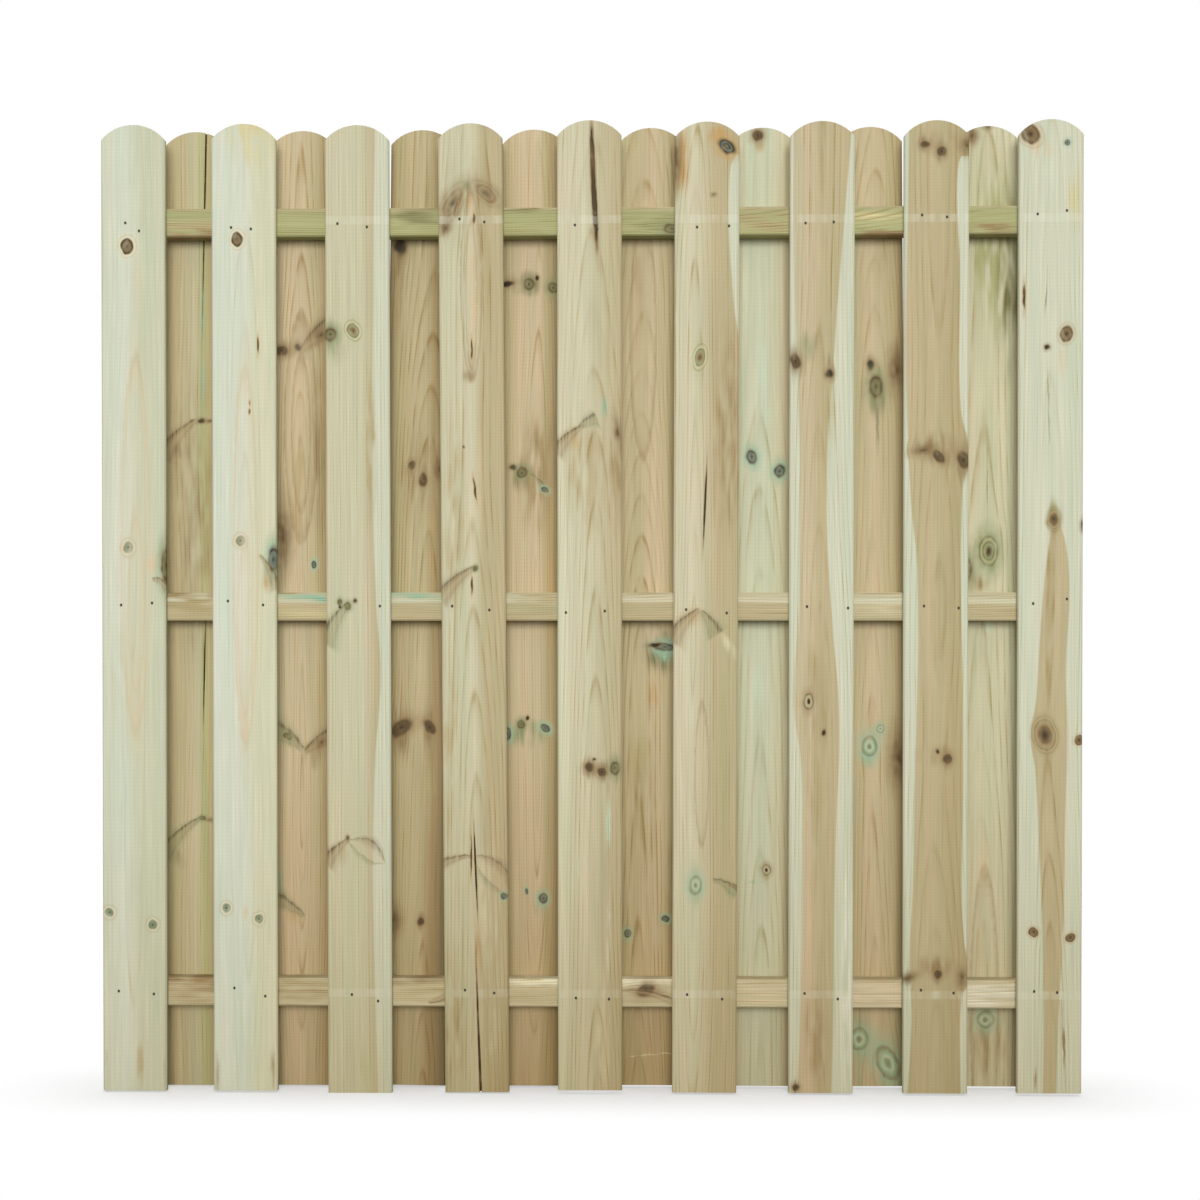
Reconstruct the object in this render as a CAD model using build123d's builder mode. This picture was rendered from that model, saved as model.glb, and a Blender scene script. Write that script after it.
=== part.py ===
# Double-sided privacy fence panel of pressure-treated pine.
#
# Arch-headed boards stand on the front of three rails, and a second row on the back covers the gaps
# between them. Two gun nails hold each board to each rail, with their heads sunk below the face.
# Millimetres: +X runs along the rails, the front faces -Y, and +Z is up.
# The origin is on the ground under the middle of the panel.
from build123d import *

import os
from math import cos, radians, sin, tan

# Boards
PANEL_WIDTH = 1800.0
BOARD_LENGTH = 1780.0
BOARD_WIDTH = 118.0
BOARD_THICKNESS = 16.0
HEAD_RISE = 28.0
BOARD_ARRIS = 2.5

# Rails, with the distances from the outer two to the boards' feet and heads, and how far
# the middle one stands above halfway
RAIL_HEIGHT = 52.0
RAIL_DEPTH = 42.0
RAIL_ARRIS = 2.5
FOOT_OVERHANG = 183.5
HEAD_OVERHANG = 175.0
MIDDLE_RAIL_LIFT = 2.5

# Gun nails: square wire, a T head standing upright, and a chisel point
NAIL_WIRE = 2.8
NAIL_HEAD = 5.2
NAIL_HEAD_DEPTH = 1.4
NAIL_POINT = 5.0
NAIL_SINK = 1.0
NAIL_FIT = 0.1
NAIL_TIP_GAP = 2.0

# How far the boards were set from even spacing, how high their feet are off the ground,
# and how many degrees each leans, with its head to the left where positive
FRONT_SHIFTS = (0, -5.5, -5.5, -3.5, -0.5, 2, 3.5, 2, 0)
FRONT_RISES = (2.5, 3.5, 0.2, 2.5, 7, 3.5, 3.5, 4, 5)
FRONT_LEANS = (0, 0.05, 0.15, 0.4, 0.05, -0.15, -0.05, 0, 0)
REAR_SHIFTS = (3, -4.5, -1, 2, 6, 1, -4, -2)
REAR_RISES = (1.5, 2.5, 3, 3, 5, 4.5, 5, 5.5)
REAR_LEANS = (0, 0, -0.6, 0, 0, 0, 0.45, 0)

# Drying cracks in the faces turned to the front, by board: place as a share of the half width and
# of the length, then length, width and tilt in degrees
CRACK_DEPTH = 10.0
FRONT_CRACKS = {
    4: [(0.11, 0.0, 404, 4, 1.7), (0.0, 0.231, 134, 3, 2.0)],
    5: [(0.1, 0.958, 120, 7, 2.0), (0.16, 0.915, 140, 8, 3.0)],
    6: [(-0.03, 0.607, 127, 3, -2.4)],
}
REAR_CRACKS = {
    1: [(0.33, 1.0, 610, 3, -1.3), (0.24, 0.437, 173, 2.5, -1.4)],
}

# Left and right nail of each front board on each rail, as shares of the board's half width
# and of the rail's half height
NAIL_SPOTS = {
    "top": (
        ((-0.24, -0.09), (0.19, -0.66)),
        ((-0.39, -0.44), (0.23, -0.55)),
        ((-0.61, -0.2), (0.31, -0.44)),
        ((-0.35, 0.09), (0.42, -0.12)),
        ((-0.45, -0.36), (0.24, -0.65)),
        ((-0.31, -0.54), (0.68, -0.47)),
        ((-0.52, -0.29), (0.35, -0.22)),
        ((-0.45, 0.24), (0.32, 0.1)),
        ((-0.42, 0.28), (0.48, 0.52)),
    ),
    "middle": (
        ((-0.4, 0.12), (0.57, 0.26)),
        ((-0.52, 0.4), (0.58, 0.12)),
        ((-0.58, -0.03), (0.67, 0.04)),
        ((-0.67, 0.04), (0.49, -0.24)),
        ((-0.74, -0.42), (0.47, -0.31)),
        ((-0.61, -0.21), (0.65, -0.45)),
        ((-0.45, 0.0), (0.82, -0.1)),
        ((-0.37, 0.04), (0.7, -0.1)),
        ((-0.53, 0.21), (0.51, 0.53)),
    ),
    "bottom": (
        ((-0.5, 0.12), (0.6, -0.08)),
        ((-0.35, 0.37), (0.62, -0.2)),
        ((-0.25, -0.07), (0.57, -0.52)),
        ((-0.36, 0.28), (0.55, 0.08)),
        ((-0.44, -0.25), (0.59, -0.32)),
        ((-0.54, 0.02), (0.55, -0.29)),
        ((-0.5, 0.13), (0.53, -0.25)),
        ((-0.44, 0.4), (0.57, 0.2)),
        ((-0.47, 0.33), (0.24, 0.26)),
    ),
}

# Places worked out from the sizes above
bottom_level = FOOT_OVERHANG
top_level = BOARD_LENGTH - HEAD_OVERHANG
RAIL_LEVELS = {
    "top": top_level,
    "middle": (top_level + bottom_level) / 2 + MIDDLE_RAIL_LIFT,
    "bottom": bottom_level,
}
front_face_y = -RAIL_DEPTH / 2 - BOARD_THICKNESS
rear_face_y = RAIL_DEPTH / 2
nail_length = BOARD_THICKNESS - NAIL_SINK + (RAIL_DEPTH - NAIL_TIP_GAP) / 2
half_width = BOARD_WIDTH / 2
half_length = BOARD_LENGTH / 2

pitch = (PANEL_WIDTH - BOARD_WIDTH) / (len(FRONT_SHIFTS) - 1)
first_middle = -(PANEL_WIDTH - BOARD_WIDTH) / 2
front_middles = [first_middle + i * pitch + shift for i, shift in enumerate(FRONT_SHIFTS)]
rear_middles = [
    (left + right) / 2 + shift
    for left, right, shift in zip(front_middles, front_middles[1:], REAR_SHIFTS)
]


def board_face(face_y, middle, rise, lean):
    """Plane of a board's face that is turned to the front, centred on the board."""
    turn = radians(lean)
    return Plane(
        origin=(middle, face_y, rise + half_length),
        x_dir=(cos(turn), 0, sin(turn)),
        z_dir=(0, -1, 0),
    )


def nail_planes(drive, middle, rise, lean, level, spots):
    """Planes along the nails of one crossing, from head to point; drive is +1 from the front."""
    head_y = -drive * (RAIL_DEPTH / 2 + BOARD_THICKNESS - NAIL_SINK)
    crossing = middle - tan(radians(lean)) * (level - rise - half_length)
    return [
        Plane(
            origin=(crossing + across * half_width, head_y, level + up * RAIL_HEIGHT / 2),
            x_dir=(0, drive, 0),
            z_dir=(1, 0, 0),
        )
        for across, up in spots
    ]


def nail_outline(planes, fit=0.0, mouth=0.0):
    """Side view of a nail on each plane, or of its hole with room at the sides and an open mouth."""
    head = NAIL_HEAD / 2 + fit
    wire = NAIL_WIRE / 2 + fit
    tip = nail_length + fit
    with BuildSketch(*planes) as outline:
        with BuildLine():
            Polyline(
                (-mouth, head),
                (NAIL_HEAD_DEPTH, head),
                (NAIL_HEAD_DEPTH, wire),
                (tip - NAIL_POINT, wire),
                (tip, 0),
                (tip - NAIL_POINT, -wire),
                (NAIL_HEAD_DEPTH, -wire),
                (NAIL_HEAD_DEPTH, -head),
                (-mouth, -head),
                close=True,
            )
        make_face()
    return outline.sketch


def nail_holes(planes):
    """Side view of the holes that the nails on these planes sit in."""
    return nail_outline(planes, NAIL_FIT, NAIL_SINK + NAIL_FIT)


def crack_outline(face, across, up, length, width, tilt):
    """Lens with pointed ends, lying on a board's face."""
    place = Location((across * half_width, (up - 0.5) * BOARD_LENGTH, 0), (0, 0, tilt))
    with BuildSketch(Plane(face.location * place)) as outline:
        with BuildLine():
            ThreePointArc((0, -length / 2), (width / 2, 0), (0, length / 2))
            ThreePointArc((0, length / 2), (-width / 2, 0), (0, -length / 2))
        make_face()
    return outline.sketch


def make_board(name, face, cracks, planes):
    """One arch-headed board with eased long edges, its drying cracks and its nail holes."""
    shoulder = half_length - HEAD_RISE
    with BuildPart() as board:
        with BuildSketch(face):
            with BuildLine():
                Polyline(
                    (-half_width, shoulder),
                    (-half_width, -half_length),
                    (half_width, -half_length),
                    (half_width, shoulder),
                )
                ThreePointArc((half_width, shoulder), (0, half_length), (-half_width, shoulder))
            make_face()
        extrude(amount=-BOARD_THICKNESS)
        long_edges = board.edges().filter_by(GeomType.LINE).group_by(SortBy.LENGTH)[-1]
        chamfer(long_edges, BOARD_ARRIS)
        for crack in cracks:
            extrude(crack_outline(face, *crack), amount=-CRACK_DEPTH, mode=Mode.SUBTRACT)
        extrude(
            nail_holes(planes), amount=NAIL_WIRE / 2 + NAIL_FIT, both=True, mode=Mode.SUBTRACT
        )
    board.part.label = name
    export_step(board.part, f"parts/{name}.step")


def make_rail(name, level, planes):
    """One rail from end to end of the panel, with the nail holes of both rows of boards."""
    with BuildPart() as rail:
        with BuildSketch(Plane.YZ.offset(-PANEL_WIDTH / 2)):
            with Locations((0, level)):
                Rectangle(RAIL_DEPTH, RAIL_HEIGHT)
        extrude(amount=PANEL_WIDTH)
        chamfer(rail.edges().filter_by(Axis.X), RAIL_ARRIS)
        extrude(
            nail_holes(planes), amount=NAIL_WIRE / 2 + NAIL_FIT, both=True, mode=Mode.SUBTRACT
        )
    rail.part.label = name
    export_step(rail.part, f"parts/{name}.step")


def make_nails(name, planes):
    """The nails that one row of boards has along one rail."""
    with BuildPart() as nails:
        extrude(nail_outline(planes), amount=NAIL_WIRE / 2, both=True)
    nails.part.label = name
    export_step(nails.part, f"parts/{name}.step")


os.makedirs("parts", exist_ok=True)

# Nail planes by rail, gathered board by board
front_nails = {rail: [] for rail in RAIL_LEVELS}
rear_nails = {rail: [] for rail in RAIL_LEVELS}

for i, setting in enumerate(zip(front_middles, FRONT_RISES, FRONT_LEANS)):
    own_planes = []
    for rail, level in RAIL_LEVELS.items():
        crossing_planes = nail_planes(1, *setting, level, NAIL_SPOTS[rail][i])
        front_nails[rail] += crossing_planes
        own_planes += crossing_planes
    face = board_face(front_face_y, *setting)
    make_board(f"front_board_{i + 1}", face, FRONT_CRACKS.get(i + 1, []), own_planes)

# The nails at the back repeat the front ones, board by board
for i, setting in enumerate(zip(rear_middles, REAR_RISES, REAR_LEANS)):
    own_planes = []
    for rail, level in RAIL_LEVELS.items():
        crossing_planes = nail_planes(-1, *setting, level, NAIL_SPOTS[rail][i])
        rear_nails[rail] += crossing_planes
        own_planes += crossing_planes
    face = board_face(rear_face_y, *setting)
    make_board(f"rear_board_{i + 1}", face, REAR_CRACKS.get(i + 1, []), own_planes)

for rail, level in RAIL_LEVELS.items():
    make_rail(f"{rail}_rail", level, front_nails[rail] + rear_nails[rail])
    make_nails(f"front_nails_{rail}", front_nails[rail])
    make_nails(f"rear_nails_{rail}", rear_nails[rail])
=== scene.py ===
"""Double-sided fence panel of pressure-treated pine: the wood of every board, the rails and the nails."""

from collections import namedtuple
from functools import reduce
from math import cos, hypot, pi, radians, sin, tan

import bpy
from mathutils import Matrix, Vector


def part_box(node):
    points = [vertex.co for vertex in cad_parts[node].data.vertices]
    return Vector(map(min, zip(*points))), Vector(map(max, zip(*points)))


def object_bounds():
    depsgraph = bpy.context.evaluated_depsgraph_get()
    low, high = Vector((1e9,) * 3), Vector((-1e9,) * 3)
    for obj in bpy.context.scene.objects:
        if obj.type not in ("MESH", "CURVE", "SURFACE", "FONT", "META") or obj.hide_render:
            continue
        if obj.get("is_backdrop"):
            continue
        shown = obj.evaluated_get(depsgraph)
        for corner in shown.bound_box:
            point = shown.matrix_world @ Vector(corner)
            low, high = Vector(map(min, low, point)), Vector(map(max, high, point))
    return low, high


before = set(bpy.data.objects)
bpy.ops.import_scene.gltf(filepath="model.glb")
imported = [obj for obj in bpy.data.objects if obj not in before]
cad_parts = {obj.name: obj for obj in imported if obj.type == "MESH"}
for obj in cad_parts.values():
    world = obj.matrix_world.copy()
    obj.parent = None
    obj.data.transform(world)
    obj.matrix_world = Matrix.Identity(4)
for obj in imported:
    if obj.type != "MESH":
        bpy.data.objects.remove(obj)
cad_low, cad_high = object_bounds()

# Sizes of the timber in millimetres, as it was built
MM = 0.001
BOARD_WIDTH = 118
BOARD_LENGTH = 1780
RAIL_HEIGHT = 52
PANEL_WIDTH = 1800

# How many degrees the leaning boards are out of upright, with the head to the left where positive
LEANS = {
    "front_board_2": 0.05, "front_board_3": 0.15, "front_board_4": 0.4, "front_board_5": 0.05,
    "front_board_6": -0.15, "front_board_7": -0.05, "rear_board_3": -0.6, "rear_board_7": 0.45,
}

# Wood and stain tones, as they look in plain daylight
TONES = {
    "chalk": (224, 226, 208), "frost": (207, 211, 191), "sap": (203, 205, 180), "lichen": (197, 199, 171),
    "cream": (218, 210, 176), "butter": (208, 198, 150), "sand": (203, 197, 166), "straw": (198, 194, 162),
    "tan": (191, 182, 148), "heart": (185, 172, 134), "toffee": (177, 163, 122), "rose": (198, 181, 147),
    "peach": (214, 189, 150), "moss": (166, 166, 117), "lime": (178, 176, 126), "mint": (192, 206, 180),
    "verdigris": (150, 186, 158), "amber": (190, 155, 100), "clay": (152, 128, 90), "umber": (126, 104, 70),
    "bark": (94, 76, 50), "soot": (54, 46, 31), "slate": (104, 114, 100), "olive": (118, 114, 76),
    "fern": (138, 148, 106), "ash": (126, 113, 84), "hazel": (164, 145, 105), "fawn": (150, 132, 94),
    "pearl": (206, 205, 174),
}

# Knots and other marks from the middle outwards, as distance in radii up to REACH, tone and cover, then
# the tone and cover of the stain drawn out along the grain, and whether the grain parts round the mark
REACH = 2.5
Look = namedtuple("Look", "rings flare cover parts", defaults=("clay", 0, True))
LOOKS = {
    "ringed": Look([
        (0, "bark", 1), (0.3, "ash", 1), (0.7, "umber", 1), (0.92, "soot", 0.95), (1.08, "umber", 0.7),
        (1.2, "cream", 0.7), (1.45, "cream", 0.6), (1.55, "amber", 0.35), (1.7, "cream", 0.15),
        (2.5, "cream", 0),
    ]),
    "swirl": Look([
        (0, "soot", 0.9), (0.25, "slate", 0.9), (0.5, "fern", 0.8), (0.7, "slate", 0.8),
        (0.95, "fern", 0.8), (1.1, "clay", 0.5), (1.25, "cream", 0.6), (1.5, "cream", 0.4),
        (1.6, "clay", 0.25), (2.5, "cream", 0),
    ]),
    "brown": Look([
        (0, "soot", 1), (0.35, "bark", 1), (0.8, "bark", 0.95), (1.0, "umber", 0.75), (1.25, "clay", 0.5),
        (1.7, "clay", 0.2), (2.5, "clay", 0),
    ], "umber", 0.7),
    "green": Look([
        (0, "soot", 0.95), (0.3, "olive", 0.95), (0.6, "olive", 0.85), (0.9, "bark", 0.85),
        (1.1, "olive", 0.6), (1.4, "fern", 0.45), (1.9, "fern", 0.2), (2.5, "fern", 0),
    ], "olive", 0.6),
    "blue": Look([
        (0, "soot", 0.95), (0.3, "slate", 0.95), (0.6, "slate", 0.8), (0.85, "soot", 0.85),
        (1.05, "slate", 0.6), (1.35, "verdigris", 0.55), (1.8, "verdigris", 0.25), (2.5, "verdigris", 0),
    ], "fern", 0.5),
    "dark": Look([
        (0, "soot", 1), (0.6, "soot", 0.95), (0.9, "bark", 0.85), (1.2, "umber", 0.55), (1.6, "clay", 0.3),
        (2.5, "clay", 0),
    ], "umber", 0.6),
    "tight": Look([
        (0, "soot", 1), (0.2, "bark", 1), (0.5, "umber", 1), (0.75, "umber", 0.95), (0.95, "bark", 0.9),
        (1.1, "clay", 0.6), (1.3, "peach", 0.4), (1.5, "clay", 0.25), (1.8, "peach", 0),
    ]),
    "collar": Look([
        (0, "soot", 1), (0.35, "bark", 1), (0.85, "umber", 0.95), (1.02, "clay", 0.8), (1.25, "hazel", 0.7),
        (1.48, "olive", 0.6), (1.62, "amber", 0.45), (1.8, "olive", 0.4), (2.0, "clay", 0.15),
        (2.4, "clay", 0),
    ], "olive", 0.35),
    "hoop": Look([
        (0, "bark", 0.95), (0.3, "umber", 0.9), (0.55, "clay", 0.8), (0.78, "fern", 0.7),
        (0.98, "olive", 0.8), (1.15, "butter", 0.5), (1.4, "lime", 0.4), (1.55, "olive", 0.4),
        (1.7, "butter", 0.15), (2.5, "lime", 0),
    ], "fern", 0.3),
    "soft": Look([
        (0, "bark", 0.85), (0.3, "ash", 0.8), (0.62, "clay", 0.65), (0.84, "umber", 0.65),
        (1.0, "clay", 0.6), (1.2, "hazel", 0.45), (1.4, "olive", 0.35), (1.65, "clay", 0.2),
        (2.4, "clay", 0),
    ], "clay", 0.35),
    "eye": Look([
        (0, "soot", 1), (0.28, "soot", 1), (0.4, "clay", 0.6), (0.65, "tan", 0.5), (0.85, "fern", 0.6),
        (1.0, "bark", 0.85), (1.12, "clay", 0.5), (1.5, "hazel", 0.3), (2.3, "hazel", 0),
    ], "hazel", 0.4),
    "slaty": Look([
        (0, "slate", 0.95), (0.35, "soot", 0.95), (0.6, "slate", 0.9), (0.85, "soot", 0.9),
        (1.05, "umber", 0.7), (1.35, "amber", 0.5), (1.9, "amber", 0.2), (2.5, "amber", 0),
    ], "amber", 0.4),
    "teal": Look([
        (0, "slate", 0.7), (0.25, "fern", 0.6), (0.45, "mint", 0.55), (0.62, "verdigris", 0.6),
        (0.85, "fern", 0.8), (1.0, "slate", 0.5), (1.15, "verdigris", 0.5), (1.6, "verdigris", 0.2),
        (2.5, "verdigris", 0),
    ], "fern", 0.4),
    "rings": Look([
        (0, "soot", 1), (0.17, "bark", 1), (0.3, "olive", 0.9), (0.44, "fern", 0.8), (0.58, "olive", 0.85),
        (0.74, "moss", 0.7), (0.92, "olive", 0.8), (1.08, "fern", 0.55), (1.4, "fern", 0.3),
        (2.2, "fern", 0),
    ], "fern", 0.4),
    # A drying crack painted as a dark line wider than the cut crack: painted shade of its inside, fading
    # out beside it
    "crack": Look([
        (0, "bark", 1), (0.85, "bark", 1), (1.1, "umber", 0.7), (1.5, "clay", 0.2), (2.0, "clay", 0),
    ], parts=False),
    "arch": Look([
        (0, "rose", 0.05), (0.72, "rose", 0.12), (0.87, "hazel", 0.25), (0.95, "clay", 0.4),
        (1.0, "clay", 0.35), (1.05, "rose", 0.08), (1.3, "rose", 0),
    ], parts=False),
    "blush": Look([
        (0, "peach", 0.05), (0.8, "peach", 0.12), (0.92, "peach", 0.4), (0.97, "rose", 0.45),
        (1.04, "peach", 0.15), (1.3, "peach", 0),
    ], parts=False),
    "smear": Look([
        (0, "bark", 0.95), (0.5, "umber", 0.8), (1.0, "umber", 0.5), (1.6, "clay", 0.3), (2.4, "clay", 0),
    ], "umber", 0.5),
    "pocket": Look([
        (0, "soot", 1), (0.6, "bark", 1), (0.9, "umber", 0.9), (1.2, "amber", 0.5), (2.0, "amber", 0),
    ]),
}

# Knots sawn along their length, from the lower side across to the upper one
SPIKE_LOOKS = {
    "branch": [
        (-2.4, "clay", 0), (-1.5, "clay", 0.2), (-1.05, "umber", 0.4), (-0.8, "clay", 0.55),
        (-0.3, "hazel", 0.6), (0.1, "clay", 0.65), (0.45, "umber", 0.65), (0.8, "bark", 0.75),
        (1.0, "umber", 0.45), (1.4, "clay", 0.2), (2.2, "clay", 0),
    ],
    "greenbranch": [
        (-2.4, "fern", 0), (-1.5, "fern", 0.3), (-1.05, "olive", 0.45), (-0.8, "fern", 0.55),
        (-0.3, "clay", 0.5), (0.1, "fern", 0.6), (0.45, "olive", 0.7), (0.8, "bark", 0.7),
        (1.0, "olive", 0.5), (1.4, "fern", 0.25), (2.3, "fern", 0),
    ],
    "wing": [
        (-1.6, "fern", 0), (-1.2, "fern", 0.35), (-1.0, "umber", 0.4), (-0.8, "rose", 0.25),
        (0.0, "rose", 0.25), (0.55, "clay", 0.35), (0.8, "clay", 0.5), (0.95, "bark", 0.6),
        (1.12, "umber", 0.3), (1.6, "clay", 0),
    ],
}

# What shows on a piece of timber: sizes in millimetres, tilts in degrees, and the rest as strengths
Knot = namedtuple("Knot", "across up wide high look tilt", defaults=(0,))
Spike = namedtuple("Spike", "across up end_across end_up thick look", defaults=("branch",))
Patch = namedtuple("Patch", "across up wide high tone cover tilt", defaults=(0,))
Grain = namedtuple("Grain", "pith depth slope spacing figure")
Heart = namedtuple("Heart", "left right sap")
Timber = namedtuple(
    "Timber", "streaks grain knots patches heart stickers sawn foot", defaults=(None, False, 0.5, 0.6)
)


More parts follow.
